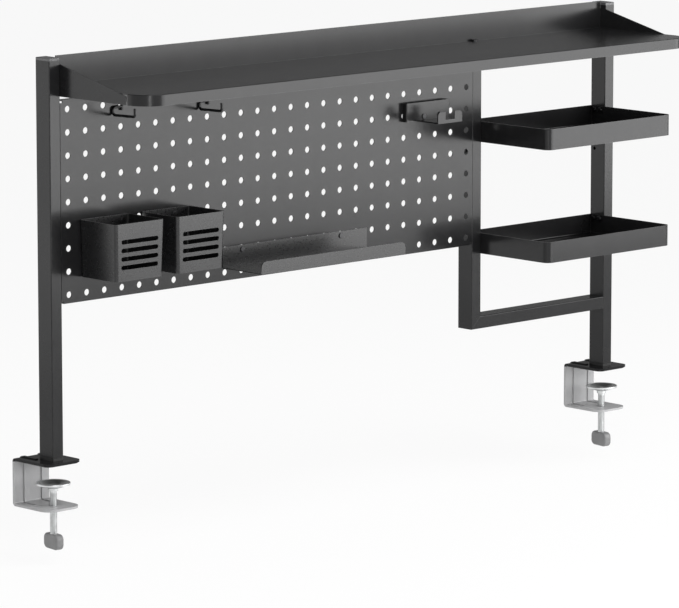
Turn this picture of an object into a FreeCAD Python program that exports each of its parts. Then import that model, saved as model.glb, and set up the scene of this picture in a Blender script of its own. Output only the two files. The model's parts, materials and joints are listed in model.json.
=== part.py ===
import FreeCAD, Part
import math
import os

# Clamp-on pegboard desk organizer: two posts on desk clamps carry a pegboard, a full-width
# shelf and two open trays, with hang-on cups, a ledge tray, wire hooks and a headphone holder.
# Millimetres. X runs to the right, Y to the back, Z up. The origin lies on the desk's back edge:
# X = 0 at mid width, Y = 0 at the inner face of the clamp backs, Z = 0 at the desk top.

V = FreeCAD.Vector
SAME = 1e-6                  # closer than this counts as the same place

# --- Pegboard ---------------------------------------------------------------------------------
HOLE_PITCH = 25.4
HOLE_D = 7.2
COLUMNS = 25
ROWS = 9
BOARD_SIDE_MARGIN = 10.4     # first and last hole columns to the board's side edges
BOARD_BOTTOM_MARGIN = 9.4
BOARD_TOP_MARGIN = 10.3
BOARD_T = 1.2
BOARD_FLANGE = 18.0          # depth of the folded side flanges
BOARD_HEM = 10.0             # depth of the folded top and bottom flanges
BOARD_RELIEF = 2.0           # corner notch between neighbouring flanges
BOARD_SCREW_ROW = 0.5        # outer screws this many rows in from the first and last rows

# --- Rectangular tube of the posts and the crossbar -------------------------------------------
TUBE_W = 15.0
TUBE_D = 23.0
TUBE_WALL = 1.5
TUBE_EDGE_R = 1.0
FRAME_W = 885.4              # outer face to outer face of the outer posts
POST_HEIGHT = 441.5          # foot to the top of the end cap
POST_SETBACK = 45.5          # post fronts ahead of the desk's back edge
CROSSBAR_H = 15.0
CAP_HEAD = 3.0
CAP_STEM = 12.0
HEAD_BEVEL = 0.5
CAP_STEM_WALL = 1.5
FOOT_HEAD = 3.5              # flush head of the foot plug, under the tube
PLUG_L = 16.0
PLUG_CLEARANCE = 0.1

# --- Shelf ------------------------------------------------------------------------------------
SHEET_T = 1.2
SHELF_RISE = 1.5             # top of the back upstand above the post caps
UPSTAND_H = 31.7             # deck to the top of the back upstand
LIP_H = 12.2
SHELF_GAP = 4.1              # board top to the underside of the shelf's lip
SHELF_DEPTH = 147.5          # face of the back upstand to the face of the front lip
SHELF_CORNER_R = 28.0
SHELF_FOLD_R = 0.8           # outer radius of the fold from the deck to the lip
UPSTAND_SETBACK = 8.0        # face of the back upstand behind the post fronts
CHEEK_SLIT = 2.0             # slit between a cheek's front edge and the lip
CHEEK_BACK_H = 34.9
CHEEK_FRONT_H = 9.2
CHEEK_INSET = 3.0            # back edge of a cheek ahead of the post's back face
CHEEK_SCREW_DROP = 3.1       # upper cheek screw below the stem of the post's end cap

# --- Trays ------------------------------------------------------------------------------------
TRAY_H = 24.4
TRAY_FRONT = 109.0           # tray face ahead of the post fronts
TRAY_BACK_INSET = 1.0        # tray back wall ahead of the posts' back faces
TRAY_CORNER_R = 8.5
TRAY_INNER_FLOOR_R = 2.0
TRAY_HEADROOM = 82.4         # upper tray's rim to the shelf's lip
TRAY_PITCH = 132.0           # lower tray to upper tray
CROSSBAR_GAP = 74.5          # crossbar to the lower tray
TRAY_SCREW_RISE = 20.0
SPARE_HOLE_DROP = 27.5       # spare screw hole below the upper tray

# --- Screws: shank radius, head radius, head height -------------------------------------------
SCREW_R = 2.0
SCREW_HEAD_R = 3.4
SCREW_HEAD_H = 2.0
SCREW_CLEARANCE = 0.1
SCREW_BITE = 5.0             # screw length past the wall that it bites into
RECESS_W = 1.0
RECESS_DEPTH = 1.0
FOOT_SCREW_R = 2.5
FOOT_SCREW_HEAD_R = 4.4
FOOT_SCREW_SPACING = 10.0
FOOT_SCREW_L = 14.0
CROSSBAR_PLUG_L = 18.0
MID_SCREW_SETBACK = 4.3      # shelf-to-middle-post screw behind the post fronts

# --- Desk clamps ------------------------------------------------------------------------------
CLAMP_W = 50.0
CLAMP_T = 2.5
CLAMP_REACH = 57.5           # plates ahead of the desk's back edge
CLAMP_MOUTH = 48.5           # bracket's clear height, without the desk pad
CLAMP_BEND_R = 1.6
CLAMP_TOP_CORNER_R = 9.0
CLAMP_BOTTOM_CORNER_R = 14.0
DESK_PAD_T = 1.2
DESK_PAD_INSET = 2.0
RIB_W = 4.0
RIB_RISE = 1.2
RIB_SPACING = 25.0
RIB_TOP_REACH = 24.0
RIB_BOTTOM_REACH = 20.0

CLAMP_SCREW_R = 4.0
CLAMP_SCREW_SETBACK = 36.5   # screw axis ahead of the desk's back edge
THREAD_PITCH = 1.25
THREAD_DEPTH = 0.45
THREAD_CREST = 0.25          # flat crest of the thread, and its flat root, as shares of the pitch
THREAD_CLEARANCE = 0.06
NECK_R = 3.0
NECK_CLEARANCE = 0.08
RIVET_R = 5.0
RIVET_H = 1.3
END_PLAY = 0.1
PAD_RADIUS = 19.0
PAD_DROP = 21.2              # pad's rim below the desk top, as set for a desk this thick
PAD_RIM_RADIUS = 13.8             # inner edge of the pad's flat rim
PAD_RIM_T = 2.4
PAD_DISH = 3.6
PAD_DISH_RADIUS = 8.0
PAD_FLOOR_T = 2.4
PAD_HUB_RADIUS = 5.5
PAD_H = 9.6
KNOB_DROP = 78.3             # knob's top below the desk top
KNOB_H = 17.2
KNOB_W = 27.5
KNOB_T = 10.0
KNOB_CORNER_R = 6.0
KNOB_EDGE_R = 2.2
KNOB_SOCKET = 13.0
KNOB_TURN = 82.0             # turn of the knob's broad side from the X axis, in degrees

# --- Loose hooks that hang the accessories in the board's holes -------------------------------
HOOK_W = 4.0
HOOK_T = 2.0
HOOK_DROP = 2.6              # how far the rear leg reaches down behind the board
HOOK_SEAT = 0.15             # hook above the hole's lower edge
HOOK_REAR_GAP = 0.4
HOOK_REAR_T = 1.6
HOOK_HEAD_R = 3.0
HOOK_HEAD_T = 1.2
HOOK_HEAD_EDGE_R = 0.5
HOOK_SLOT_PLAY = 0.1

# --- Pen cups ---------------------------------------------------------------------------------
CUP_W = 71.0
CUP_D = 60.0
CUP_H = 63.0
CUP_T = 1.2
CUP_BASE_INSET = 1.8
CUP_R = 4.0
CUP_RIM_OVER_HOLE = 4.8      # cup's rim above the row of holes that carries it
CUP_HOLE_ROW = 3
CUP_HOOK_COLUMNS = {"left": (1, 3), "right": (5, 6)}
CUP_SLOT_COUNT = 4
CUP_SLOT_H = 5.0
CUP_SLOT_END = 8.9           # slot ends to the cup's side walls
CUP_SLOT_PITCH = 9.4
CUP_FIRST_SLOT = 15.0        # lowest slot above the cup's floor

# --- Ledge tray -------------------------------------------------------------------------------
LEDGE_W = 223.0
LEDGE_D = 65.0
LEDGE_T = 1.2
LEDGE_BACK_H = 23.7
LEDGE_LIP_H = 14.2
LEDGE_CORNER_R = 7.0
LEDGE_OVER_HOLE = 3.3
LEDGE_HOLE_ROW = 1
LEDGE_HOOK_COLUMNS = (10, 16)
LEDGE_OFFSET = 5.8           # tray's middle to the right of the middle of its hooks

# --- Headphone holder -------------------------------------------------------------------------
HOLDER_W = 70.0
HOLDER_T = 1.5
HOLDER_STANDOFF = 7.0        # plate's face ahead of the board, on two folded sides
HOLDER_BACK_H = 21.6
HOLDER_OVER_HOLE = 14.8
HOLDER_ARM_W = 38.6
HOLDER_ARM_L = 43.0
HOLDER_TAB_H = 13.2
HOLDER_NOTCH_W = 14.8
HOLDER_NOTCH_FLOOR = 4.0
HOLDER_CORNER_R = 4.0
HOLDER_HOLE_ROW = 6
HOLDER_HOOK_COLUMNS = (21, 22)
HOLDER_OFFSET = -5.6         # plate's middle from the middle of its hooks

# --- Wire hooks -------------------------------------------------------------------------------
WIRE_R = 1.5
WIRE_BEND_R = 3.0
WIRE_HOLE_ROW = 8
WIRE_COLUMNS = {"left": 3, "right": 8}
WIRE_BAR_DROPS = {"left": 3.2, "right": 7.5}    # cross bar below the hole
WIRE_BOARD_GAP = 0.3
WIRE_SIDE_STEP = 12.7        # arm to the left of the hole
WIRE_TAIL_DROP = 4.2         # tail's end below the cross bar
WIRE_ARM_DROP = 8.5          # arm below the cross bar
WIRE_ARM_L = 38.0
WIRE_ARM_RISE = 1.0
WIRE_TIP_H = 9.0
WIRE_REAR_GAP = 1.2
WIRE_REAR_UP = 8.0

# --- Places worked out from the sizes above ---------------------------------------------------
BOARD_W = (COLUMNS - 1) * HOLE_PITCH + 2 * BOARD_SIDE_MARGIN
X_LEFT = -FRAME_W / 2
X_BOARD = X_LEFT + TUBE_W
X_MID = X_BOARD + BOARD_W
X_BAY = X_MID + TUBE_W
X_RIGHT = FRAME_W / 2 - TUBE_W
X_FIRST_HOLE = X_BOARD + BOARD_SIDE_MARGIN

Y_FRONT = -POST_SETBACK
Y_BACK = Y_FRONT + TUBE_D
Y_MIDDLE = Y_FRONT + TUBE_D / 2
Y_BOARD_BACK = Y_FRONT + BOARD_T
Y_UPSTAND = Y_FRONT + UPSTAND_SETBACK
Y_SHELF = Y_UPSTAND - SHELF_DEPTH

Z_FOOT = DESK_PAD_T + CLAMP_T
Z_TOP = Z_FOOT + POST_HEIGHT
Z_SHELF_TOP = Z_TOP + SHELF_RISE
Z_DECK = Z_SHELF_TOP - UPSTAND_H
Z_UNDER_DECK = Z_DECK - SHEET_T
Z_LIP = Z_DECK - LIP_H
Z_BOARD_TOP = Z_LIP - SHELF_GAP
Z_FIRST_ROW = Z_BOARD_TOP - BOARD_TOP_MARGIN - (ROWS - 1) * HOLE_PITCH
Z_BOARD = Z_FIRST_ROW - BOARD_BOTTOM_MARGIN
Z_UPPER_TRAY = Z_LIP - TRAY_HEADROOM - TRAY_H
Z_LOWER_TRAY = Z_UPPER_TRAY - TRAY_PITCH
Z_CROSSBAR = Z_LOWER_TRAY - CROSSBAR_GAP - CROSSBAR_H
Z_CLAMP_FLOOR = DESK_PAD_T - CLAMP_MOUTH

POST_CENTRES = {"left": X_LEFT + TUBE_W / 2, "right": X_RIGHT + TUBE_W / 2}
TRAY_HOLE_YS = (Y_FRONT + TUBE_D * 0.28, Y_FRONT + TUBE_D * 0.72)


def box(x0, x1, y0, y1, z0, z1):
    """Block between two corners."""
    return Part.makeBox(x1 - x0, y1 - y0, z1 - z0, V(x0, y0, z0))


def rod(radius, start, direction, length):
    """Cylinder along a direction."""
    return Part.makeCylinder(radius, length, start, direction)


def face_of(points):
    """Flat face inside a closed polygon."""
    return Part.Face(Part.makePolygon(list(points) + [points[0]]))


def fillet_along(shape, axis, radius, keep=lambda middle: True):
    """Round the straight edges that run along an axis and whose middle passes a test."""
    chosen = []
    for edge in shape.Edges:
        if len(edge.Vertexes) != 2:
            continue
        run = edge.Vertexes[1].Point.sub(edge.Vertexes[0].Point)
        if run.Length < SAME or abs(abs(run.dot(axis)) - run.Length) > SAME:
            continue
        if keep(edge.CenterOfMass):
            chosen.append(edge)
    return shape.makeFillet(radius, chosen)


def column_x(column):
    """Middle of a column of board holes."""
    return X_FIRST_HOLE + column * HOLE_PITCH


def row_z(row):
    """Middle of a row of board holes."""
    return Z_FIRST_ROW + row * HOLE_PITCH


def save(name, *solids):
    """Write one named node, of one or more separate solids."""
    shape = solids[0] if len(solids) == 1 else Part.makeCompound(list(solids))
    shape.exportStep("parts/" + name + ".step")


# --- Screws -----------------------------------------------------------------------------------

def pan_screw(head_seat, direction, length):
    """Pan-head screw with a cross recess: the head seats on head_seat, the shank runs along
    direction."""
    shank = rod(SCREW_R, V(0, 0, 0), V(0, 0, 1), length)
    head = rod(SCREW_HEAD_R, V(0, 0, -SCREW_HEAD_H), V(0, 0, 1), SCREW_HEAD_H)
    rim = [edge for edge in head.Edges if abs(edge.CenterOfMass.z + SCREW_HEAD_H) < SAME]
    head = head.makeFillet(SCREW_HEAD_H * 0.6, rim)
    arm = SCREW_HEAD_R * 0.6
    top = -SCREW_HEAD_H
    across = box(-arm, arm, -RECESS_W / 2, RECESS_W / 2, top, top + RECESS_DEPTH)
    upright = box(-RECESS_W / 2, RECESS_W / 2, -arm, arm, top, top + RECESS_DEPTH)
    screw = shank.fuse(head).cut(across.fuse(upright))
    screw.Placement = FreeCAD.Placement(head_seat, FreeCAD.Rotation(V(0, 0, 1), direction))
    return screw


def screw_hole(seat, direction, length):
    """Clearance hole for a pan-head screw's shank."""
    return rod(SCREW_R + SCREW_CLEARANCE, seat, direction, length)


# --- Posts, crossbar and their plugs ----------------------------------------------------------

def upright_tube(x0, z0, z1):
    """Rectangular tube standing between two heights."""
    outer = box(x0, x0 + TUBE_W, Y_FRONT, Y_BACK, z0, z1)
    outer = fillet_along(outer, V(0, 0, 1), TUBE_EDGE_R)
    inner = box(x0 + TUBE_WALL, x0 + TUBE_W - TUBE_WALL,
                Y_FRONT + TUBE_WALL, Y_BACK - TUBE_WALL, z0, z1)
    return outer.cut(inner)


def tube_plug(x0, z0, z1):
    """Block that fills an upright tube, with a sliding clearance."""
    gap = TUBE_WALL + PLUG_CLEARANCE
    return box(x0 + gap, x0 + TUBE_W - gap, Y_FRONT + gap, Y_BACK - gap, z0, z1)


def board_screw_heights():
    """Heights of the screws that hold the board's side flanges."""
    last = ROWS - 1
    return [row_z(BOARD_SCREW_ROW), row_z(last / 2), row_z(last - BOARD_SCREW_ROW)]


def cheek_screw_heights():
    """Heights of the screws that hold the shelf's cheeks."""
    return [Z_LIP + CHEEK_BACK_H * 0.25, Z_TOP - CAP_HEAD - CAP_STEM - CHEEK_SCREW_DROP]


def tray_holes(x_face, direction):
    """Holes for the tray screws and one spare hole, through one tube wall."""
    heights = [Z_UPPER_TRAY + TRAY_SCREW_RISE, Z_LOWER_TRAY + TRAY_SCREW_RISE]
    spare = screw_hole(V(x_face, TRAY_HOLE_YS[1], Z_UPPER_TRAY - SPARE_HOLE_DROP), direction,
                       TUBE_WALL)
    return wall_holes(x_face, direction, TRAY_HOLE_YS, heights) + [spare]


def wall_holes(x_face, direction, ys, zs):
    """Screw holes through one tube wall, starting at its outer face."""
    return [screw_hole(V(x_face, y, z), direction, TUBE_WALL) for y in ys for z in zs]


LEFTWARD = V(-1, 0, 0)
RIGHTWARD = V(1, 0, 0)


def left_post():
    """Left post, drilled for the board and the shelf's left cheek."""
    tube = upright_tube(X_LEFT, Z_FOOT + FOOT_HEAD, Z_TOP - CAP_HEAD)
    drills = wall_holes(X_BOARD, LEFTWARD, [Y_MIDDLE], board_screw_heights())
    drills += wall_holes(X_BOARD, LEFTWARD, [cheek_screw_y()], cheek_screw_heights())
    return tube.cut(drills)


def mid_post():
    """Middle post, mitred at its foot, drilled for the board and the trays."""
    tube = upright_tube(X_MID, Z_CROSSBAR, Z_UNDER_DECK)
    mitre = face_of([V(X_MID, Y_FRONT, Z_CROSSBAR), V(X_BAY, Y_FRONT, Z_CROSSBAR),
                     V(X_BAY, Y_FRONT, Z_CROSSBAR + CROSSBAR_H)])
    drills = wall_holes(X_MID, RIGHTWARD, [Y_MIDDLE], board_screw_heights())
    drills += tray_holes(X_BAY, LEFTWARD)
    return tube.cut([mitre.extrude(V(0, TUBE_D, 0))] + drills)


def right_post():
    """Right post, drilled for the trays, the crossbar and the shelf's right cheek."""
    tube = upright_tube(X_RIGHT, Z_FOOT + FOOT_HEAD, Z_TOP - CAP_HEAD)
    drills = tray_holes(X_RIGHT, RIGHTWARD)
    drills += wall_holes(X_RIGHT, RIGHTWARD, [cheek_screw_y()], cheek_screw_heights())
    drills.append(screw_hole(V(X_RIGHT, Y_MIDDLE, crossbar_middle_z()), RIGHTWARD, TUBE_W))
    return tube.cut(drills)


def crossbar_middle_z():
    """Height of the crossbar's middle line."""
    return Z_CROSSBAR + CROSSBAR_H / 2


def crossbar():
    """Tube from the middle post's mitre to the right post."""
    outer = box(X_MID, X_RIGHT, Y_FRONT, Y_BACK, Z_CROSSBAR, Z_CROSSBAR + CROSSBAR_H)
    outer = fillet_along(outer, V(1, 0, 0), TUBE_EDGE_R)
    inner = box(X_MID, X_RIGHT, Y_FRONT + TUBE_WALL, Y_BACK - TUBE_WALL,
                Z_CROSSBAR + TUBE_WALL, Z_CROSSBAR + CROSSBAR_H - TUBE_WALL)
    mitre = face_of([V(X_MID, Y_FRONT, Z_CROSSBAR), V(X_MID, Y_FRONT, Z_CROSSBAR + CROSSBAR_H),
                     V(X_MID + CROSSBAR_H, Y_FRONT, Z_CROSSBAR + CROSSBAR_H)])
    return outer.cut([inner, mitre.extrude(V(0, TUBE_D, 0))])


def crossbar_plug():
    """Tapped block in the crossbar's right end."""
    gap = TUBE_WALL + PLUG_CLEARANCE
    block = box(X_RIGHT - CROSSBAR_PLUG_L, X_RIGHT, Y_FRONT + gap, Y_BACK - gap,
                Z_CROSSBAR + gap, Z_CROSSBAR + CROSSBAR_H - gap)
    return block.cut(screw_hole(V(X_RIGHT, Y_MIDDLE, crossbar_middle_z()), LEFTWARD,
                                CROSSBAR_PLUG_L))


def crossbar_screw():
    """Long screw through the right post into the crossbar's plug."""
    seat = V(X_RIGHT + TUBE_W, Y_MIDDLE, crossbar_middle_z())
    return pan_screw(seat, LEFTWARD, TUBE_W + CROSSBAR_PLUG_L * 0.7)


def plug_head(x0, z0, z1, bevel_z):
    """Flush plastic head at a tube's end, bevelled at one of its two ends."""
    head = fillet_along(box(x0, x0 + TUBE_W, Y_FRONT, Y_BACK, z0, z1), V(0, 0, 1), TUBE_EDGE_R)
    rim = [edge for edge in head.Edges if abs(edge.CenterOfMass.z - bevel_z) < SAME]
    return head.makeChamfer(HEAD_BEVEL, rim)


def post_cap(x0):
    """Plastic end cap with a hollow stem inside the tube."""
    seat = Z_TOP - CAP_HEAD
    head = plug_head(x0, seat, Z_TOP, Z_TOP)
    stem = tube_plug(x0, seat - CAP_STEM, seat)
    gap = TUBE_WALL + PLUG_CLEARANCE + CAP_STEM_WALL
    core = box(x0 + gap, x0 + TUBE_W - gap, Y_FRONT + gap, Y_BACK - gap, seat - CAP_STEM, seat)
    return head.fuse(stem.cut(core)).removeSplitter()


def foot_screw_points(x):
    """Screws that hold a post on its clamp, under the tube's plug."""
    half = FOOT_SCREW_SPACING / 2
    return [V(x, Y_MIDDLE + offset, DESK_PAD_T) for offset in (-half, half)]


def foot_screw(point):
    """Countersunk screw, flush with the underside of the clamp's top plate."""
    sink = FOOT_SCREW_HEAD_R - FOOT_SCREW_R
    cone = Part.makeCone(FOOT_SCREW_HEAD_R, FOOT_SCREW_R, sink, point, V(0, 0, 1))
    shank = rod(FOOT_SCREW_R, point, V(0, 0, 1), FOOT_SCREW_L)
    arm = FOOT_SCREW_HEAD_R * 0.5
    recess = box(point.x - arm, point.x + arm, point.y - RECESS_W / 2, point.y + RECESS_W / 2,
                 point.z, point.z + RECESS_DEPTH)
    return cone.fuse(shank).cut(recess)


def foot_screw_hole(point):
    """Countersunk clearance hole for a foot screw."""
    head_r = FOOT_SCREW_HEAD_R + SCREW_CLEARANCE
    shank_r = FOOT_SCREW_R + SCREW_CLEARANCE
    cone = Part.makeCone(head_r, shank_r, head_r - shank_r, point, V(0, 0, 1))
    return cone.fuse(rod(shank_r, point, V(0, 0, 1), FOOT_SCREW_L + SCREW_CLEARANCE))


def foot_plug(x):
    """Tapped block in a post's foot, with a flush head between the tube and the clamp."""
    x0 = x - TUBE_W / 2
    seat = Z_FOOT + FOOT_HEAD
    block = plug_head(x0, Z_FOOT, seat, seat).fuse(tube_plug(x0, seat - HEAD_BEVEL, seat + PLUG_L))
    return block.cut([foot_screw_hole(point) for point in foot_screw_points(x)])


# --- Pegboard ---------------------------------------------------------------------------------

def pegboard_panel():
    """Sheet with folded edges and a grid of round holes."""
    x0, x1 = X_BOARD, X_MID
    sheet = box(x0, x1, Y_FRONT, Y_BOARD_BACK, Z_BOARD, Z_BOARD_TOP)
    y_side = Y_FRONT + BOARD_FLANGE
    y_hem = Y_FRONT + BOARD_HEM
    notch = BOARD_T + BOARD_RELIEF
    sides = [box(x, x + BOARD_T, Y_FRONT, y_side, Z_BOARD + notch, Z_BOARD_TOP - notch)
             for x in (x0, x1 - BOARD_T)]
    hems = [box(x0 + notch, x1 - notch, Y_FRONT, y_hem, z, z + BOARD_T)
            for z in (Z_BOARD, Z_BOARD_TOP - BOARD_T)]
    corners = [box(x, x + notch, Y_FRONT, Y_BOARD_BACK, z, z + notch)
               for x in (x0, x1 - notch) for z in (Z_BOARD, Z_BOARD_TOP - notch)]
    pan = sheet.fuse(sides + hems).removeSplitter()
    holes = [rod(HOLE_D / 2, V(column_x(column), Y_FRONT, row_z(row)), V(0, 1, 0), BOARD_T)
             for column in range(COLUMNS) for row in range(ROWS)]
    screws = [screw_hole(V(x, Y_MIDDLE, z), RIGHTWARD, BOARD_T)
              for x in (x0, x1 - BOARD_T) for z in board_screw_heights()]
    return pan.cut(corners + screws).cut(Part.makeCompound(holes))


def board_screws():
    """Screws from inside the board's flanges into the left and middle posts."""
    length = BOARD_T + SCREW_BITE
    left = [pan_screw(V(X_BOARD + BOARD_T, Y_MIDDLE, z), LEFTWARD, length)
            for z in board_screw_heights()]
    right = [pan_screw(V(X_MID - BOARD_T, Y_MIDDLE, z), RIGHTWARD, length)
             for z in board_screw_heights()]
    return left + right


# --- Shelf ------------------------------------------------------------------------------------

def shelf_outline(inset, y_back):
    """Plan of the shelf's front band: straight sides, rounded front corners."""
    x0, x1 = X_BOARD + inset, X_RIGHT - inset
    y0 = Y_SHELF + inset
    r = SHELF_CORNER_R - inset
    turn = r * (1 - math.sqrt(0.5))
    return Part.Wire([
        Part.makeLine(V(x0, y_back, 0), V(x0, y0 + r, 0)),
        Part.Arc(V(x0, y0 + r, 0), V(x0 + turn, y0 + turn, 0), V(x0 + r, y0, 0)).toShape(),
        Part.makeLine(V(x0 + r, y0, 0), V(x1 - r, y0, 0)),
        Part.Arc(V(x1 - r, y0, 0), V(x1 - turn, y0 + turn, 0), V(x1, y0 + r, 0)).toShape(),
        Part.makeLine(V(x1, y0 + r, 0), V(x1, y_back, 0)),
        Part.makeLine(V(x1, y_back, 0), V(x0, y_back, 0))])


def shelf():
    """Deck, rounded front lip and back upstand, folded from one sheet."""
    y_band = Y_SHELF + SHELF_CORNER_R + SHEET_T
    outer = Part.Face(shelf_outline(0, y_band))
    inner = Part.Face(shelf_outline(SHEET_T, y_band))
    inner.translate(V(0, 0, Z_LIP))
    front = outer.extrude(V(0, 0, LIP_H))
    front.translate(V(0, 0, Z_LIP))
    fold = [edge for edge in front.Edges
            if abs(edge.CenterOfMass.z - Z_DECK) < SAME and edge.CenterOfMass.y < y_band - SAME]
    front = front.makeFillet(SHELF_FOLD_R, fold)
    front = front.cut(inner.extrude(V(0, 0, LIP_H - SHEET_T)))
    x0, x1 = X_BOARD + SHEET_T, X_RIGHT - SHEET_T
    deck = box(x0, x1, y_band, Y_UPSTAND + SHEET_T, Z_UNDER_DECK, Z_DECK)
    upstand = box(x0, x1, Y_UPSTAND, Y_UPSTAND + SHEET_T, Z_UNDER_DECK, Z_SHELF_TOP)
    body = front.fuse([deck, upstand]).removeSplitter()
    return body.cut(screw_hole(shelf_screw_seat(), V(0, 0, -1), SHEET_T))


def shelf_screw_seat():
    """Where the deck's screw goes down into the middle post."""
    return V(X_MID + TUBE_W / 2, Y_FRONT + MID_SCREW_SETBACK, Z_DECK)


def mid_post_plug():
    """Tapped block in the middle post's top."""
    block = tube_plug(X_MID, Z_UNDER_DECK - PLUG_L, Z_UNDER_DECK)
    return block.cut(screw_hole(shelf_screw_seat(), V(0, 0, -1), PLUG_L + SHEET_T))


def cheek_screw_y():
    """Shelf cheek screws sit between the upstand and the cheek's back edge."""
    return (Y_UPSTAND + SHEET_T + Y_BACK - CHEEK_INSET) / 2


def shelf_cheek(x0, side):
    """Tapered side plate of the shelf, against a post's inner face."""
    y_front = Y_SHELF + SHELF_CORNER_R + SHEET_T + CHEEK_SLIT
    y_back = Y_BACK - CHEEK_INSET
    plate = face_of([V(x0, y_back, Z_LIP), V(x0, y_back, Z_LIP + CHEEK_BACK_H),
                     V(x0, Y_FRONT, Z_LIP + CHEEK_BACK_H), V(x0, y_front, Z_LIP + CHEEK_FRONT_H),
                     V(x0, y_front, Z_LIP)]).extrude(V(SHEET_T * side, 0, 0))
    drills = [screw_hole(V(x0, cheek_screw_y(), z), V(side, 0, 0), SHEET_T)
              for z in cheek_screw_heights()]
    return plate.cut(drills)


def cheek_screws():
    """Screws from inside the cheeks into the outer posts."""
    length = SHEET_T + SCREW_BITE
    left = [pan_screw(V(X_BOARD + SHEET_T, cheek_screw_y(), z), LEFTWARD, length)
            for z in cheek_screw_heights()]
    right = [pan_screw(V(X_RIGHT - SHEET_T, cheek_screw_y(), z), RIGHTWARD, length)
             for z in cheek_screw_heights()]
    return left + right


# --- Trays ------------------------------------------------------------------------------------

def tray(z0):
    """Open tray with rounded front corners, between the middle and the right post."""
    y0 = Y_FRONT - TRAY_FRONT
    y1 = Y_BACK - TRAY_BACK_INSET
    outer = box(X_BAY, X_RIGHT, y0, y1, z0, z0 + TRAY_H)
    outer = fillet_along(outer, V(0, 0, 1), TRAY_CORNER_R, lambda middle: middle.y < Y_FRONT)
    inner = box(X_BAY + SHEET_T, X_RIGHT - SHEET_T, y0 + SHEET_T, y1 - SHEET_T,
                z0 + SHEET_T, z0 + TRAY_H)
    inner = fillet_along(inner, V(0, 0, 1), TRAY_CORNER_R - SHEET_T,
                         lambda middle: middle.y < Y_FRONT)
    floor = [edge for edge in inner.Edges if abs(edge.CenterOfMass.z - z0 - SHEET_T) < SAME]
    inner = inner.makeFillet(TRAY_INNER_FLOOR_R, floor)
    z = z0 + TRAY_SCREW_RISE
    drills = [screw_hole(V(x, y, z), RIGHTWARD, SHEET_T)
              for x in (X_BAY, X_RIGHT - SHEET_T) for y in TRAY_HOLE_YS]
    return outer.cut([inner] + drills)


def tray_screws(z0):
    """Screws from inside a tray into both posts."""
    z = z0 + TRAY_SCREW_RISE
    length = SHEET_T + SCREW_BITE
    left = [pan_screw(V(X_BAY + SHEET_T, y, z), LEFTWARD, length) for y in TRAY_HOLE_YS]
    right = [pan_screw(V(X_RIGHT - SHEET_T, y, z), RIGHTWARD, length) for y in TRAY_HOLE_YS]
    return left + right


# --- Desk clamps ------------------------------------------------------------------------------

def band_profile(x, depth_in, depth_out, top_reach, bottom_reach):
    """C-shaped section of the clamp's band, between two depths outward from its inner face."""
    def path(depth):
        top, floor = DESK_PAD_T + depth, Z_CLAMP_FLOOR - depth
        r = CLAMP_BEND_R + depth
        turn = r * (1 - math.sqrt(0.5))
        return [(-top_reach, top), (depth - r, top), (depth - turn, top - turn), (depth, top - r),
                (depth, floor + r), (depth - turn, floor + turn), (depth - r, floor),
                (-bottom_reach, floor)]

    def edges(points):
        p = [V(x, y, z) for y, z in points]
        return [Part.makeLine(p[0], p[1]), Part.Arc(p[1], p[2], p[3]).toShape(),
                Part.makeLine(p[3], p[4]), Part.Arc(p[4], p[5], p[6]).toShape(),
                Part.makeLine(p[6], p[7])]

    outer, inner = path(depth_out), path(depth_in)
    ends = [Part.makeLine(V(x, *outer[i]), V(x, *inner[i])) for i in (0, -1)]
    return Part.Face(Part.Wire(Part.__sortEdges__(edges(outer) + edges(inner) + ends)))


def clamp_bracket(x):
    """Bent steel band with two embossed ribs, countersunk holes on top and a tapped hole below."""
    x0 = x - CLAMP_W / 2
    band = band_profile(x0, 0, CLAMP_T, CLAMP_REACH, CLAMP_REACH).extrude(V(CLAMP_W, 0, 0))
    band = fillet_along(band, V(0, 0, 1), CLAMP_TOP_CORNER_R,
                        lambda middle: middle.y < -CLAMP_REACH + 1 and middle.z > 0)
    band = fillet_along(band, V(0, 0, 1), CLAMP_BOTTOM_CORNER_R,
                        lambda middle: middle.y < -CLAMP_REACH + 1 and middle.z < 0)
    for offset in (-RIB_SPACING / 2, RIB_SPACING / 2):
        rib_x = x + offset - RIB_W / 2
        groove = band_profile(rib_x, 0, RIB_RISE, RIB_TOP_REACH, RIB_BOTTOM_REACH)
        ridge = band_profile(rib_x, CLAMP_T, CLAMP_T + RIB_RISE, RIB_TOP_REACH, RIB_BOTTOM_REACH)
        band = band.cut(groove.extrude(V(RIB_W, 0, 0))).fuse(ridge.extrude(V(RIB_W, 0, 0)))
    screw_bore = rod(CLAMP_SCREW_R + THREAD_CLEARANCE,
                     V(x, -CLAMP_SCREW_SETBACK, Z_CLAMP_FLOOR - CLAMP_T), V(0, 0, 1), CLAMP_T)
    return band.cut([screw_bore] + [foot_screw_hole(point) for point in foot_screw_points(x)])


def desk_pad(x):
    """Rubber sheet under the clamp's top plate."""
    half = CLAMP_W / 2 - DESK_PAD_INSET
    pad = box(x - half, x + half, -CLAMP_REACH + DESK_PAD_INSET, -DESK_PAD_INSET, 0, DESK_PAD_T)
    return fillet_along(pad, V(0, 0, 1), CLAMP_TOP_CORNER_R - DESK_PAD_INSET,
                        lambda middle: middle.y < -CLAMP_SCREW_SETBACK)


def revolve_about(x, points):
    """Solid of revolution about a clamp screw's axis, from (radius, height) points."""
    profile = face_of([V(x + r, -CLAMP_SCREW_SETBACK, z) for r, z in points])
    return profile.revolve(V(x, -CLAMP_SCREW_SETBACK, 0), V(0, 0, 1), 360)


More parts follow.
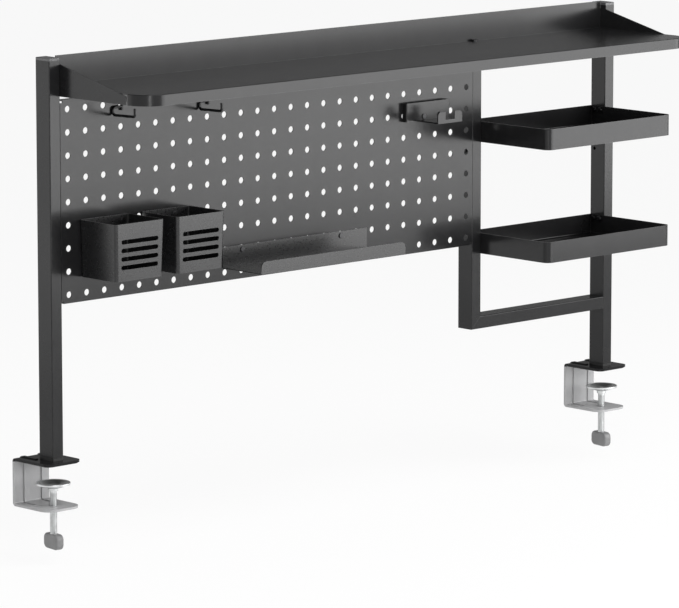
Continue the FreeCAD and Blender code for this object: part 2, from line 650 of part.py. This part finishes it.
def clamp_pad(x):
    """Dished pad that presses on the desk's underside; the screw's riveted neck turns in it."""
    rim = -PAD_DROP
    dish = rim - PAD_DISH
    under = dish - PAD_FLOOR_T
    hub = rim - PAD_H
    neck = NECK_R + NECK_CLEARANCE
    pad = revolve_about(x, [(neck, dish), (PAD_DISH_RADIUS, dish), (PAD_RIM_RADIUS, rim),
                            (PAD_RADIUS, rim), (PAD_RADIUS, rim - PAD_RIM_T),
                            (PAD_DISH_RADIUS, under), (PAD_HUB_RADIUS, under),
                            (PAD_HUB_RADIUS, hub), (neck, hub)])
    lips = [edge for edge in pad.Edges if abs(edge.CenterOfMass.z - rim) < SAME]
    return pad.makeFillet(PAD_RIM_T * 0.3, lips)


def clamp_screw(x):
    """Threaded spindle: knob end below, riveted neck through the pad above."""
    dish = -PAD_DROP - PAD_DISH
    shoulder = -PAD_DROP - PAD_H - END_PLAY
    bottom = -KNOB_DROP - KNOB_SOCKET
    points = [(0, bottom), (CLAMP_SCREW_R, bottom)]
    grooves = int((shoulder + KNOB_DROP - THREAD_PITCH) / THREAD_PITCH)
    flat = THREAD_PITCH * THREAD_CREST
    flank = THREAD_PITCH / 2 - flat
    for i in range(grooves):
        z = -KNOB_DROP + (i + 0.5) * THREAD_PITCH
        points += [(CLAMP_SCREW_R, z), (CLAMP_SCREW_R - THREAD_DEPTH, z + flank),
                   (CLAMP_SCREW_R - THREAD_DEPTH, z + flank + flat),
                   (CLAMP_SCREW_R, z + 2 * flank + flat)]
    rivet = dish + END_PLAY
    points += [(CLAMP_SCREW_R, shoulder), (NECK_R, shoulder), (NECK_R, rivet), (RIVET_R, rivet),
               (RIVET_R * 0.6, rivet + RIVET_H), (0, rivet + RIVET_H)]
    return revolve_about(x, points)


def clamp_knob(x):
    """Flat paddle pressed on the spindle's lower end."""
    centre = V(x, -CLAMP_SCREW_SETBACK, 0)
    top = -KNOB_DROP
    block = box(x - KNOB_W / 2, x + KNOB_W / 2, centre.y - KNOB_T / 2, centre.y + KNOB_T / 2,
                top - KNOB_H, top)
    block = fillet_along(block, V(0, 1, 0), KNOB_CORNER_R)
    sides = [edge for edge in block.Edges
             if abs(abs(edge.CenterOfMass.y - centre.y) - KNOB_T / 2) < SAME]
    block = block.makeFillet(KNOB_EDGE_R, sides)
    block.rotate(centre, V(0, 0, 1), KNOB_TURN)
    return block.cut(rod(CLAMP_SCREW_R, V(x, centre.y, top), V(0, 0, -1), KNOB_SOCKET))


# --- Hooks of the hang-on accessories ---------------------------------------------------------

def hook_bottom():
    """Underside of a hook's bridge, from the middle of its hole."""
    half = HOOK_W / 2
    return HOOK_SEAT - math.sqrt((HOLE_D / 2) ** 2 - half ** 2)


def board_hook(column, row, wall):
    """Hook pin: a round head inside the accessory's wall, a flat bridge and a short rear leg."""
    x, z = column_x(column), row_z(row) + hook_bottom()
    x0, x1 = x - HOOK_W / 2, x + HOOK_W / 2
    y_in = Y_FRONT - wall
    y_rear = Y_BOARD_BACK + HOOK_REAR_GAP
    y_out = y_rear + HOOK_REAR_T
    bridge = box(x0, x1, y_in, y_out, z, z + HOOK_T)
    rear = box(x0, x1, y_rear, y_out, z - HOOK_DROP, z)
    head = rod(HOOK_HEAD_R, V(x, y_in, z + HOOK_T / 2), V(0, -1, 0), HOOK_HEAD_T)
    rim = [edge for edge in head.Edges if abs(edge.CenterOfMass.y - y_in + HOOK_HEAD_T) < SAME]
    return bridge.fuse([rear, head.makeFillet(HOOK_HEAD_EDGE_R, rim)]).removeSplitter()


def hook_slot(x, row, wall):
    """Opening in an accessory's wall for a hook's bridge."""
    z = row_z(row) + hook_bottom()
    half = HOOK_W / 2 + HOOK_SLOT_PLAY
    return box(x - half, x + half, Y_FRONT - wall, Y_FRONT, z - HOOK_SLOT_PLAY,
               z + HOOK_T + HOOK_SLOT_PLAY)


# --- Pen cups ---------------------------------------------------------------------------------

def rounded_rectangle(x0, x1, y0, y1, z, r):
    """Closed wire of a rectangle with round corners."""
    turn = r * (1 - math.sqrt(0.5))
    return Part.Wire([
        Part.makeLine(V(x0 + r, y0, z), V(x1 - r, y0, z)),
        Part.Arc(V(x1 - r, y0, z), V(x1 - turn, y0 + turn, z), V(x1, y0 + r, z)).toShape(),
        Part.makeLine(V(x1, y0 + r, z), V(x1, y1 - r, z)),
        Part.Arc(V(x1, y1 - r, z), V(x1 - turn, y1 - turn, z), V(x1 - r, y1, z)).toShape(),
        Part.makeLine(V(x1 - r, y1, z), V(x0 + r, y1, z)),
        Part.Arc(V(x0 + r, y1, z), V(x0 + turn, y1 - turn, z), V(x0, y1 - r, z)).toShape(),
        Part.makeLine(V(x0, y1 - r, z), V(x0, y0 + r, z)),
        Part.Arc(V(x0, y0 + r, z), V(x0 + turn, y0 + turn, z), V(x0 + r, y0, z)).toShape()])


def cup_centre(hook_columns):
    """A cup's middle, half way between its hooks."""
    return column_x(sum(hook_columns) / 2)


def cup_block(x, inset, z0, z1):
    """Tapered block of a cup's outside, or of its inside when inset by the wall."""
    base, rim = cup_base(), cup_base() + CUP_H

    def section(z):
        taper = CUP_BASE_INSET * (rim - z) / CUP_H
        half = CUP_W / 2 - taper - inset
        return rounded_rectangle(x - half, x + half, Y_FRONT - CUP_D + taper + inset,
                                 Y_FRONT - inset, z, CUP_R - inset)

    return Part.makeLoft([section(base + z0), section(base + z1)], True, True)


def cup_base():
    """Height of the cups' undersides."""
    return row_z(CUP_HOLE_ROW) + CUP_RIM_OVER_HOLE - CUP_H


def pen_cup(x):
    """Tapered cup with ventilation slots in front and four hook openings behind."""
    shell = cup_block(x, 0, 0, CUP_H).cut(cup_block(x, CUP_T, CUP_T, CUP_H))
    cuts = []
    half = CUP_W / 2 - CUP_SLOT_END - CUP_SLOT_H / 2
    for i in range(CUP_SLOT_COUNT):
        z = cup_base() + CUP_FIRST_SLOT + i * CUP_SLOT_PITCH
        start = V(x - half, Y_FRONT - CUP_D, z)
        ends = [rod(CUP_SLOT_H / 2, start + V(step, 0, 0), V(0, 1, 0), CUP_D / 2)
                for step in (0, 2 * half)]
        middle = box(x - half, x + half, start.y, start.y + CUP_D / 2, z - CUP_SLOT_H / 2,
                     z + CUP_SLOT_H / 2)
        cuts.append(middle.fuse(ends))
    for step in (-1, -0.5, 0.5, 1):
        cuts.append(hook_slot(x + step * HOLE_PITCH, CUP_HOLE_ROW, CUP_T))
    return shell.cut(cuts)


# --- Ledge tray -------------------------------------------------------------------------------

def ledge_tray():
    """Channel open at both ends: back plate, floor and a lower front lip."""
    x = (column_x(LEDGE_HOOK_COLUMNS[0]) + column_x(LEDGE_HOOK_COLUMNS[1])) / 2 + LEDGE_OFFSET
    x0, x1 = x - LEDGE_W / 2, x + LEDGE_W / 2
    top = row_z(LEDGE_HOLE_ROW) + LEDGE_OVER_HOLE
    z0 = top - LEDGE_BACK_H
    y0 = Y_FRONT - LEDGE_D
    floor = box(x0, x1, y0, Y_FRONT, z0, z0 + LEDGE_T)
    back = box(x0, x1, Y_FRONT - LEDGE_T, Y_FRONT, z0, top)
    lip = box(x0, x1, y0, y0 + LEDGE_T, z0, z0 + LEDGE_LIP_H)
    lip = fillet_along(lip, V(0, 1, 0), LEDGE_CORNER_R, lambda middle: middle.z > z0 + LEDGE_T)
    body = floor.fuse([back, lip]).removeSplitter()
    return body.cut([hook_slot(column_x(column), LEDGE_HOLE_ROW, LEDGE_T)
                     for column in LEDGE_HOOK_COLUMNS])


# --- Headphone holder -------------------------------------------------------------------------

def headphone_holder():
    """Plate on two folded sides, and a forward arm that ends in two upturned tabs."""
    x = (column_x(HOLDER_HOOK_COLUMNS[0]) + column_x(HOLDER_HOOK_COLUMNS[1])) / 2 + HOLDER_OFFSET
    top = row_z(HOLDER_HOLE_ROW) + HOLDER_OVER_HOLE
    z0 = top - HOLDER_BACK_H
    half, arm = HOLDER_W / 2, HOLDER_ARM_W / 2
    y0 = Y_FRONT - HOLDER_ARM_L
    y_plate = Y_FRONT - HOLDER_STANDOFF
    back = box(x - half, x + half, y_plate, Y_FRONT, z0, top)
    back = fillet_along(back, V(0, 0, 1), HOLDER_T, lambda middle: middle.y < Y_FRONT - SAME)
    back = back.cut(box(x - half + HOLDER_T, x + half - HOLDER_T, y_plate + HOLDER_T, Y_FRONT,
                        z0, top))
    floor = box(x - arm, x + arm, y0, y_plate + HOLDER_T, z0, z0 + HOLDER_T)
    front = box(x - arm, x + arm, y0, y0 + HOLDER_T, z0, z0 + HOLDER_TAB_H)
    front = fillet_along(front, V(0, 1, 0), HOLDER_CORNER_R, lambda middle: middle.z > z0 + 1)
    notch = box(x - HOLDER_NOTCH_W / 2, x + HOLDER_NOTCH_W / 2, y0, y0 + HOLDER_T,
                z0 + HOLDER_NOTCH_FLOOR, z0 + HOLDER_TAB_H)
    body = back.fuse([floor, front.cut(notch)]).removeSplitter()
    return body.cut([hook_slot(column_x(column), HOLDER_HOLE_ROW, HOLDER_STANDOFF)
                     for column in HOLDER_HOOK_COLUMNS])


# --- Wire hooks -------------------------------------------------------------------------------

def bent_wire(points):
    """Round wire along straight runs joined by tangent arcs."""
    edges = []
    start = points[0]
    for before, corner, after in zip(points, points[1:], points[2:]):
        into = (before - corner).normalize()
        away = (after - corner).normalize()
        angle = into.getAngle(away)
        reach = WIRE_BEND_R / math.tan(angle / 2)
        first, last = corner + into * reach, corner + away * reach
        bisector = (into + away).normalize()
        middle = corner + bisector * (WIRE_BEND_R / math.sin(angle / 2) - WIRE_BEND_R)
        edges += [Part.makeLine(start, first), Part.Arc(first, middle, last).toShape()]
        start = last
    edges.append(Part.makeLine(start, points[-1]))
    path = Part.Wire(edges)
    circle = Part.Wire(Part.makeCircle(WIRE_R, points[0], points[1] - points[0]))
    return path.makePipeShell([circle], True, False)


def wire_hook(column, bar_drop):
    """Hanger wire through a board hole, with a welded cross bar that bends down and out into
    an arm with an upturned tip."""
    x, z = column_x(column), row_z(WIRE_HOLE_ROW)
    y = Y_FRONT - WIRE_BOARD_GAP - WIRE_R
    y_rear = Y_BOARD_BACK + WIRE_REAR_GAP + WIRE_R
    y_tip = Y_FRONT - WIRE_ARM_L
    arm_x = x - WIRE_SIDE_STEP
    bar = z - bar_drop
    low = bar - WIRE_ARM_DROP
    hanger = bent_wire([V(x, y_rear, z + WIRE_REAR_UP), V(x, y_rear, z), V(x, y, z),
                        V(x, y, bar - WIRE_TAIL_DROP)])
    arm = bent_wire([V(x, y, bar), V(arm_x, y, bar), V(arm_x, y, low),
                     V(arm_x, y_tip, low + WIRE_ARM_RISE),
                     V(arm_x, y_tip, low + WIRE_ARM_RISE + WIRE_TIP_H)])
    return hanger.fuse(arm)


# --- Export -----------------------------------------------------------------------------------

os.makedirs("parts", exist_ok=True)
save("left_post", left_post())
save("mid_post", mid_post())
save("right_post", right_post())
save("crossbar", crossbar())
save("crossbar_plug", crossbar_plug())
save("crossbar_screw", crossbar_screw())
save("mid_post_plug", mid_post_plug())
save("mid_post_screw", pan_screw(shelf_screw_seat(), V(0, 0, -1), SHEET_T + PLUG_L * 0.7))
save("pegboard_panel", pegboard_panel())
save("board_screws", *board_screws())
save("shelf", shelf())
save("shelf_left_cheek", shelf_cheek(X_BOARD, 1))
save("shelf_right_cheek", shelf_cheek(X_RIGHT, -1))
save("cheek_screws", *cheek_screws())
for level, height in (("upper", Z_UPPER_TRAY), ("lower", Z_LOWER_TRAY)):
    save(level + "_tray", tray(height))
    save(level + "_tray_screws", *tray_screws(height))
for side, middle_x in POST_CENTRES.items():
    save(side + "_post_cap", post_cap(middle_x - TUBE_W / 2))
    save(side + "_foot_plug", foot_plug(middle_x))
    save(side + "_foot_screws", *[foot_screw(point) for point in foot_screw_points(middle_x)])
    save(side + "_clamp_bracket", clamp_bracket(middle_x))
    save(side + "_desk_pad", desk_pad(middle_x))
    save(side + "_clamp_pad", clamp_pad(middle_x))
    save(side + "_clamp_screw", clamp_screw(middle_x))
    save(side + "_clamp_knob", clamp_knob(middle_x))
for side, columns in CUP_HOOK_COLUMNS.items():
    save(side + "_pen_cup", pen_cup(cup_centre(columns)))
    save(side + "_pen_cup_hooks", *[board_hook(column, CUP_HOLE_ROW, CUP_T) for column in columns])
save("ledge_tray", ledge_tray())
save("ledge_tray_hooks", *[board_hook(column, LEDGE_HOLE_ROW, LEDGE_T)
                           for column in LEDGE_HOOK_COLUMNS])
save("headphone_holder", headphone_holder())
save("headphone_holder_hooks", *[board_hook(column, HOLDER_HOLE_ROW, HOLDER_STANDOFF)
                                 for column in HOLDER_HOOK_COLUMNS])
for side, column in WIRE_COLUMNS.items():
    save(side + "_wire_hook", wire_hook(column, WIRE_BAR_DROPS[side]))
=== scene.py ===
import json
import math

import bpy
from mathutils import Euler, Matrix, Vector


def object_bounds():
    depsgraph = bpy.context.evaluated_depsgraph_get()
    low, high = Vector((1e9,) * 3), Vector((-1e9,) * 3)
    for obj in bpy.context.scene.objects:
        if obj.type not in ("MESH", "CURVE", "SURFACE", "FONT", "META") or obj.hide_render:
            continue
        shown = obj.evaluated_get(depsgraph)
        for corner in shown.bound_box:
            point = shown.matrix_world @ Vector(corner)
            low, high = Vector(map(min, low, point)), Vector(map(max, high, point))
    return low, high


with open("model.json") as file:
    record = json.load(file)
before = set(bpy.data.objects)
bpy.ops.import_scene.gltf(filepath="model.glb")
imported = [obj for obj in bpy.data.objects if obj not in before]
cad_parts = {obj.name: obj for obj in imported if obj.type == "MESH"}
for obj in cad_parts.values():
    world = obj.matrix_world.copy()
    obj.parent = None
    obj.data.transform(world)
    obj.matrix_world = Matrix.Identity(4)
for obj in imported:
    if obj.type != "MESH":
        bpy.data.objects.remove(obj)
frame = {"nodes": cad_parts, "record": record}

CAD_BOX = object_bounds()
NODES = frame["nodes"]
MM = 0.001

# --- Colours, as linear values ----------------------------------------------------------------
CHARCOAL = (0.0105, 0.0105, 0.0110)
CHARCOAL_SPECK = (0.0140, 0.0140, 0.0146)
# lighter edge colour: partly edge wear, partly a painted highlight where edges catch the light
CHARCOAL_WORN_HIGHLIGHT = (0.105, 0.105, 0.107)
CLAMP_BLACK = (0.006, 0.006, 0.0065)
CLAMP_GREY = (0.34, 0.34, 0.345)
CAP_GREY = (0.085, 0.085, 0.088)
RUBBER = (0.014, 0.014, 0.014)
ZINC = (0.60, 0.61, 0.61)
DARK_ZINC = (0.06, 0.06, 0.062)
PLUG_BLACK = (0.006, 0.006, 0.006)
KNOB_GREY = (0.17, 0.17, 0.172)
FLOOR_WHITE = (0.86, 0.86, 0.86)

COAT_GLOSS = 0.27
ACCESSORY_GLOSS = 0.5
BLACK_CLAMP_GLOSS = 0.2
# Lightened edges: partly rubbed wear, partly a painted highlight standing in for light caught by
# the rims
EDGE_WEAR_HIGHLIGHT_REACH = 0.9 * MM
EDGE_WEAR_HIGHLIGHT = 0.5
WEAR_HIGHLIGHT_START = 0.99            # cosine between rounded and true normal where wear and painted highlight begin
WEAR_HIGHLIGHT_FULL = 0.86             # and where they are complete

# --- Noise scales, in cycles a metre ----------------------------------------------------------
MOTTLE = 26.0
WEAR_HIGHLIGHT_PATCHES = 75.0
SWELL = 260.0
SHEEN_CLOUDS = 340.0
GRAIN = 1500.0

# --- Materials --------------------------------------------------------------------------------


class Nodes:
    """Small helper that adds and joins the nodes of one material."""

    def __init__(self, name):
        self.material = bpy.data.materials.new(name)
        self.material.use_nodes = True
        self.tree = self.material.node_tree
        self.shader = self.tree.nodes["Principled BSDF"]
        self.coords = self.add("ShaderNodeTexCoord").outputs["Object"]

    def add(self, kind, **settings):
        node = self.tree.nodes.new(kind)
        for key, value in settings.items():
            setattr(node, key, value)
        return node

    def join(self, source, target):
        self.tree.links.new(source, target)

    def noise(self, scale, detail=2.0):
        """Noise over the object's own coordinates; scale is in cycles a metre."""
        node = self.add("ShaderNodeTexNoise")
        node.inputs["Scale"].default_value = scale
        node.inputs["Detail"].default_value = detail
        self.join(self.coords, node.inputs["Vector"])
        return node.outputs["Fac"]

    def spread(self, value, low, high, start=0.3, end=0.7):
        """Maps a value's middle range onto a range of numbers."""
        node = self.add("ShaderNodeMapRange")
        node.inputs["From Min"].default_value = start
        node.inputs["From Max"].default_value = end
        node.inputs["To Min"].default_value = low
        node.inputs["To Max"].default_value = high
        self.join(value, node.inputs["Value"])
        return node.outputs["Result"]

    def mix(self, factor, first, second):
        """Blend of two colours, each a tuple or a socket."""
        node = self.add("ShaderNodeMix", data_type="RGBA")
        self.join(factor, node.inputs["Factor"])
        for key, value in (("A", first), ("B", second)):
            socket = [s for s in node.inputs if s.name == key and s.type == "RGBA"][0]
            if isinstance(value, tuple):
                socket.default_value = (*value, 1.0)
            else:
                self.join(value, socket)
        return [s for s in node.outputs if s.type == "RGBA"][0]

    def edge_wear_and_highlight(self, reach, most):
        """Patchy mask along the outer edges, for edge wear and a painted highlight: how far a
        rounded normal leaves the true one.
        """
        rounded = self.add("ShaderNodeBevel", samples=4)
        rounded.inputs["Radius"].default_value = reach
        true = self.add("ShaderNodeNewGeometry").outputs["Normal"]
        dot = self.add("ShaderNodeVectorMath", operation="DOT_PRODUCT")
        self.join(rounded.outputs["Normal"], dot.inputs[0])
        self.join(true, dot.inputs[1])
        edge = self.spread(dot.outputs["Value"], most, 0.0, WEAR_HIGHLIGHT_FULL, WEAR_HIGHLIGHT_START)
        # patches of the lightened edges, partly wear and partly painted highlight
        patch = self.spread(self.noise(WEAR_HIGHLIGHT_PATCHES, 5.0), 0.35, 1.0, 0.4, 0.6)
        product = self.add("ShaderNodeMath", operation="MULTIPLY")
        self.join(edge, product.inputs[0])
        self.join(patch, product.inputs[1])
        return product.outputs[0]

    def bump(self, height, depth, strength=1.0, under=None):
        """Relief of a depth in metres, on top of another relief where one is given."""
        node = self.add("ShaderNodeBump")
        node.inputs["Distance"].default_value = depth
        node.inputs["Strength"].default_value = strength
        self.join(height, node.inputs["Height"])
        if under is not None:
            self.join(under, node.inputs["Normal"])
        return node.outputs["Normal"]

    def set(self, **values):
        """Sets inputs of the shader from numbers, tuples or sockets."""
        for key, value in values.items():
            socket = self.shader.inputs[key.replace("_", " ")]
            if isinstance(value, bpy.types.NodeSocket):
                self.join(value, socket)
            elif isinstance(value, tuple):
                socket.default_value = (*value, 1.0)
            else:
                socket.default_value = value


def powder_coat(name, base, speck, rough_low, rough_high, gloss=COAT_GLOSS):
    """Satin powder coat: fine grain, a soft orange-peel swell, mottling, and rubbed edges lightened
    partly by wear and partly by a painted highlight.
    """
    m = Nodes(name)
    tone = m.spread(m.noise(MOTTLE, 4.0), 0.0, 1.0)
    # edge colour lightened: partly wear, partly a painted highlight
    worn_and_highlight = m.edge_wear_and_highlight(EDGE_WEAR_HIGHLIGHT_REACH, EDGE_WEAR_HIGHLIGHT)
    m.set(Base_Color=m.mix(worn_and_highlight, m.mix(tone, base, speck), CHARCOAL_WORN_HIGHLIGHT))
    m.set(Roughness=m.spread(m.noise(SHEEN_CLOUDS, 3.0), rough_low, rough_high))
    m.set(Specular_IOR_Level=gloss)
    swell = m.bump(m.noise(SWELL), 0.01 * MM, 0.5)
    m.set(Normal=m.bump(m.noise(GRAIN, 3.0), 0.009 * MM, 0.6, swell))
    return m.material


def clamp_coat():
    """Clamp bracket: gloss black above the desk line, light grey below it."""
    m = Nodes("clamp_coat")
    split = m.add("ShaderNodeSeparateXYZ")
    m.join(m.coords, split.inputs[0])
    above = m.spread(split.outputs["Z"], 0.0, 1.0, -0.6 * MM, 0.2 * MM)
    tone = m.spread(m.noise(40.0, 4.0), 0.0, 1.0)
    grey = m.mix(tone, CLAMP_GREY, tuple(c * 1.12 for c in CLAMP_GREY))
    m.set(Base_Color=m.mix(above, grey, CLAMP_BLACK))
    m.set(Roughness=m.spread(above, 0.36, 0.12, 0.0, 1.0))
    m.set(Specular_IOR_Level=m.spread(above, 0.5, BLACK_CLAMP_GLOSS, 0.0, 1.0))
    swell = m.bump(m.noise(220.0), 0.01 * MM, 0.4)
    m.set(Normal=m.bump(m.noise(1200.0, 3.0), 0.008 * MM, 0.4, swell))
    return m.material


def plated_steel(name, base, rough_low, rough_high):
    """Zinc-plated steel with fine drawn streaks and small clouds in its shine."""
    m = Nodes(name)
    cloud = m.spread(m.noise(180.0, 4.0), 0.0, 1.0)
    m.set(Base_Color=m.mix(cloud, base, tuple(min(1.0, c * 1.18) for c in base)))
    m.set(Metallic=1.0, Roughness=m.spread(m.noise(420.0, 4.0), rough_low, rough_high))
    m.set(Normal=m.bump(m.noise(900.0, 2.0), 0.004 * MM, 0.4))
    return m.material


def moulded(name, base, rough_low, rough_high, depth):
    """Moulded plastic or rubber: eroded grain and a faint sink in the colour."""
    m = Nodes(name)
    tone = m.spread(m.noise(90.0, 3.0), 0.0, 1.0)
    m.set(Base_Color=m.mix(tone, base, tuple(c * 1.15 for c in base)))
    m.set(Roughness=m.spread(m.noise(700.0, 3.0), rough_low, rough_high))
    m.set(Normal=m.bump(m.noise(1900.0, 4.0), depth, 0.6))
    return m.material


FINISH = {
    "charcoal_coat": powder_coat("charcoal_coat", CHARCOAL, CHARCOAL_SPECK, 0.19, 0.24),
    "charcoal_wire": powder_coat("charcoal_wire", CHARCOAL, CHARCOAL_SPECK, 0.17, 0.22),
    "accessory_coat": powder_coat("accessory_coat", CHARCOAL, CHARCOAL_SPECK, 0.26, 0.32,
                                  ACCESSORY_GLOSS),
    "clamp_coat": clamp_coat(),
    "cap_plastic": moulded("cap_plastic", CAP_GREY, 0.38, 0.50, 0.012 * MM),
    "pad_rubber": moulded("pad_rubber", RUBBER, 0.55, 0.75, 0.02 * MM),
    "zinc": plated_steel("zinc", ZINC, 0.34, 0.44),
    "dark_screw": plated_steel("dark_screw", DARK_ZINC, 0.30, 0.42),
    "knob_plastic": moulded("knob_plastic", KNOB_GREY, 0.34, 0.46, 0.012 * MM),
    "plug_plastic": moulded("plug_plastic", PLUG_BLACK, 0.50, 0.62, 0.012 * MM),
}
OWN_FINISH = {
    "left_foot_plug": "plug_plastic", "right_foot_plug": "plug_plastic",
    "left_pen_cup": "accessory_coat", "right_pen_cup": "accessory_coat",
    "ledge_tray": "accessory_coat",
}

for entry in frame["record"]["subparts"]:
    name = entry["node"]
    slots = NODES[name].data.materials
    slots.clear()
    slots.append(FINISH[OWN_FINISH.get(name, entry["material_slot"])])

# --- Softened edges of the metal pieces -------------------------------------------------------
EDGE_ANGLE = 50.0
EDGE_ROUND = {
    "left_post": 0.25, "mid_post": 0.5, "right_post": 0.25, "crossbar": 0.5,
    "shelf": 0.3, "shelf_left_cheek": 0.3, "shelf_right_cheek": 0.3,
    "upper_tray": 0.3, "lower_tray": 0.3, "ledge_tray": 0.3, "headphone_holder": 0.35,
    "left_pen_cup": 0.5, "right_pen_cup": 0.5, "pegboard_panel": 0.25,
    "left_clamp_bracket": 0.35, "right_clamp_bracket": 0.35,
}

for name, width in EDGE_ROUND.items():
    bevel = NODES[name].modifiers.new("edge_round", "BEVEL")
    bevel.width = width * MM
    bevel.segments = 2
    bevel.limit_method = "ANGLE"
    bevel.angle_limit = math.radians(EDGE_ANGLE)
    bevel.harden_normals = True

# --- Camera, at the photograph's place --------------------------------------------------------
CAMERA_AT = (-3.8378, -4.0699, 1.0305)
CAMERA_BEARING = 43.552
CAMERA_DROP = 9.216
CAMERA_ROLL = -0.030
CAMERA_LENS = 260.41
CAMERA_SENSOR = 36.0
FAR_CLIP = 60.0

camera = bpy.data.objects.new("camera", bpy.data.cameras.new("camera"))
bpy.context.scene.collection.objects.link(camera)
camera.data.lens = CAMERA_LENS
camera.data.sensor_width = CAMERA_SENSOR
camera.data.clip_end = FAR_CLIP
camera.location = CAMERA_AT
turn = Euler((math.radians(90 - CAMERA_DROP), 0.0, math.radians(-CAMERA_BEARING)))
roll = Euler((0.0, 0.0, math.radians(CAMERA_ROLL)))
camera.rotation_euler = (turn.to_matrix() @ roll.to_matrix()).to_euler()
bpy.context.scene.camera = camera

# --- Studio -----------------------------------------------------------------------------------


def soft_lamp(name, at, towards, width, height, power, lean=0.0):
    """Rectangular soft lamp; lean turns it about its own beam, in degrees."""
    lamp = bpy.data.lights.new(name, "AREA")
    lamp.shape = "RECTANGLE"
    lamp.size = width
    lamp.size_y = height
    lamp.energy = power
    holder = bpy.data.objects.new(name, lamp)
    bpy.context.scene.collection.objects.link(holder)
    holder.location = at
    aim = Vector(towards) - Vector(at)
    lean_turn = Euler((0.0, 0.0, math.radians(lean))).to_quaternion()
    holder.rotation_euler = (aim.to_track_quat("-Z", "Y") @ lean_turn).to_euler()
    return holder


soft_lamp("front_right_lamp", (0.95, -1.30, 0.47), (0.0, -0.30, 0.45), 1.7, 1.0, 26.0, 6.0)
soft_lamp("back_left_lamp", (-1.05, 1.10, 0.45), (0.0, 0.0, 0.42), 1.6, 1.1, 4.0)
soft_lamp("top_lamp", (-0.2, -1.2, 2.0), (0.0, -0.1, 0.2), 1.6, 1.0, 22.0)
soft_lamp("strip_lamp", (-1.40, -1.80, 0.75), (0.0, -0.1, 0.35), 0.35, 1.3, 12.0)

FLOOR_SIZE = 30.0
FLOOR_GAP = 17.0 * MM        # room for the clamp knobs at the low end of their travel
floor_mesh = bpy.data.meshes.new("floor")
half = FLOOR_SIZE / 2
floor_z = CAD_BOX[0][2] - FLOOR_GAP
floor_mesh.from_pydata([(-half, -half, floor_z), (half, -half, floor_z),
                        (half, half, floor_z), (-half, half, floor_z)], [], [(0, 1, 2, 3)])
floor = bpy.data.objects.new("floor", floor_mesh)
bpy.context.scene.collection.objects.link(floor)

FLOOR_WHITE_SHARE = 0.9      # share of plain white in the floor where a seen ray meets it
FILL_STRENGTH = 0.45         # the world as a light
SKY_FADE_END = 0.12          # height of a ray's direction where the seen world stops fading
CEILING_STRENGTH = 0.15      # the seen world from there upward


def seen_rays(tree):
    """One where a ray from the camera, a reflection or a transmission arrives, else zero."""
    rays = tree.nodes.new("ShaderNodeLightPath")
    total = rays.outputs["Is Camera Ray"]
    for name in ("Is Glossy Ray", "Is Transmission Ray"):
        larger = tree.nodes.new("ShaderNodeMath")
        larger.operation = "MAXIMUM"
        tree.links.new(total, larger.inputs[0])
        tree.links.new(rays.outputs[name], larger.inputs[1])
        total = larger.outputs[0]
    return total


def floor_material():
    """Pale matt floor with a faint mottling, that shows as nearly white and keeps a soft shadow."""
    m = Nodes("floor")
    tone = m.spread(m.noise(1.5), 0.0, 1.0)
    m.set(Base_Color=m.mix(tone, FLOOR_WHITE, tuple(c * 0.985 for c in FLOOR_WHITE)))
    m.set(Roughness=0.9)
    white = m.add("ShaderNodeEmission")
    share = m.add("ShaderNodeMath", operation="MULTIPLY")
    share.inputs[1].default_value = FLOOR_WHITE_SHARE
    m.join(seen_rays(m.tree), share.inputs[0])
    blend = m.add("ShaderNodeMixShader")
    m.join(share.outputs[0], blend.inputs["Fac"])
    m.join(m.shader.outputs[0], blend.inputs[1])
    m.join(white.outputs[0], blend.inputs[2])
    m.join(blend.outputs[0], m.tree.nodes["Material Output"].inputs["Surface"])
    return m.material


floor.data.materials.append(floor_material())

world = bpy.data.worlds.new("studio")
bpy.context.scene.world = world
world.use_nodes = True
tree = world.node_tree
tree.nodes.clear()
output = tree.nodes.new("ShaderNodeOutputWorld")
fill = tree.nodes.new("ShaderNodeBackground")
fill.inputs["Strength"].default_value = FILL_STRENGTH
backdrop = tree.nodes.new("ShaderNodeBackground")
direction = tree.nodes.new("ShaderNodeSeparateXYZ")
tree.links.new(tree.nodes.new("ShaderNodeTexCoord").outputs["Generated"], direction.inputs[0])
fade = tree.nodes.new("ShaderNodeMapRange")
fade.inputs["From Min"].default_value = 0.0
fade.inputs["From Max"].default_value = SKY_FADE_END
fade.inputs["To Min"].default_value = 1.0
fade.inputs["To Max"].default_value = CEILING_STRENGTH
tree.links.new(direction.outputs["Z"], fade.inputs["Value"])
tree.links.new(fade.outputs["Result"], backdrop.inputs["Strength"])
choose = tree.nodes.new("ShaderNodeMixShader")
for background in (fill, backdrop):
    background.inputs["Color"].default_value = (1.0, 1.0, 1.0, 1.0)
tree.links.new(seen_rays(tree), choose.inputs["Fac"])
tree.links.new(fill.outputs[0], choose.inputs[1])
tree.links.new(backdrop.outputs[0], choose.inputs[2])
tree.links.new(choose.outputs[0], output.inputs["Surface"])

bpy.context.scene.view_settings.view_transform = "Standard"
